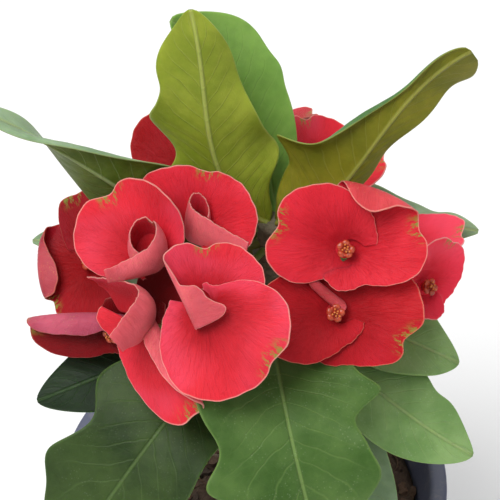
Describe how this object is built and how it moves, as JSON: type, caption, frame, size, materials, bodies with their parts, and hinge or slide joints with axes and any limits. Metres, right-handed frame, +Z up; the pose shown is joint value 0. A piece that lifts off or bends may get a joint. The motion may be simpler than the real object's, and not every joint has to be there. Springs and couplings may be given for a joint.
{
  "type": "crown of thorns plant",
  "caption": "Potted spiny plant with wavy leaves and a dome of broad red two-bracted blooms, growing in bark soil in a plain round pot.",
  "frame": {"origin": "centre of the pot's flat underside", "axes": "+Z up along the pot's axis, -Y towards the plant's front"},
  "size_m": [0.1737, 0.1854, 0.3425],
  "materials": {
    "pot_plastic": "satin slate-blue moulded plastic",
    "soil": "rough dark brown bark and coir",
    "stem": "rough grey-brown bark with hard spines, green flower stalks",
    "leaf_green": "satin dark green leaf",
    "leaf_olive": "satin yellow-green leaf",
    "leaf_pale": "matt grey-green leaf",
    "bract": "velvety pinkish red bract",
    "flower_centre": "waxy orange-red flower centre"
  },
  "bodies": {
    "root": {"pot": "pot_plastic", "soil": "soil", "stem": "stem", "leaf_top_front": "leaf_olive", "leaf_top_back": "leaf_green", "leaf_right_high": "leaf_olive", "leaf_left_high": "leaf_green", "leaf_right_back": "leaf_pale", "leaf_left_back": "leaf_pale", "leaf_front_centre": "leaf_green", "leaf_front_left": "leaf_green", "leaf_left_low": "leaf_green", "leaf_front_right": "leaf_green", "leaf_right_low": "leaf_green", "leaf_front_lowest": "leaf_pale", "leaf_back_centre": "leaf_green", "leaf_back_left": "leaf_green", "leaf_back_right": "leaf_green", "bloom_front_bracts": "bract", "bloom_front_centre": "flower_centre", "bloom_left_bracts": "bract", "bloom_left_centre": "flower_centre", "bloom_top_bracts": "bract", "bloom_top_centre": "flower_centre", "bloom_right_bracts": "bract", "bloom_right_centre": "flower_centre", "bloom_front_right_bracts": "bract", "bloom_front_right_centre": "flower_centre", "bloom_far_left_bracts": "bract", "bloom_far_left_centre": "flower_centre", "bloom_far_left_low_bracts": "bract", "bloom_far_left_low_centre": "flower_centre", "bloom_low_left_bracts": "bract", "bloom_low_left_centre": "flower_centre", "bloom_under_left_bracts": "bract", "bloom_under_left_centre": "flower_centre", "bloom_far_right_bracts": "bract", "bloom_far_right_centre": "flower_centre", "bloom_right_upper_bracts": "bract", "bloom_right_upper_centre": "flower_centre", "bloom_back_left_bracts": "bract", "bloom_back_left_centre": "flower_centre", "bloom_back_right_bracts": "bract", "bloom_back_right_centre": "flower_centre", "bloom_back_bracts": "bract", "bloom_back_centre": "flower_centre"}
  },
  "joints": []
}
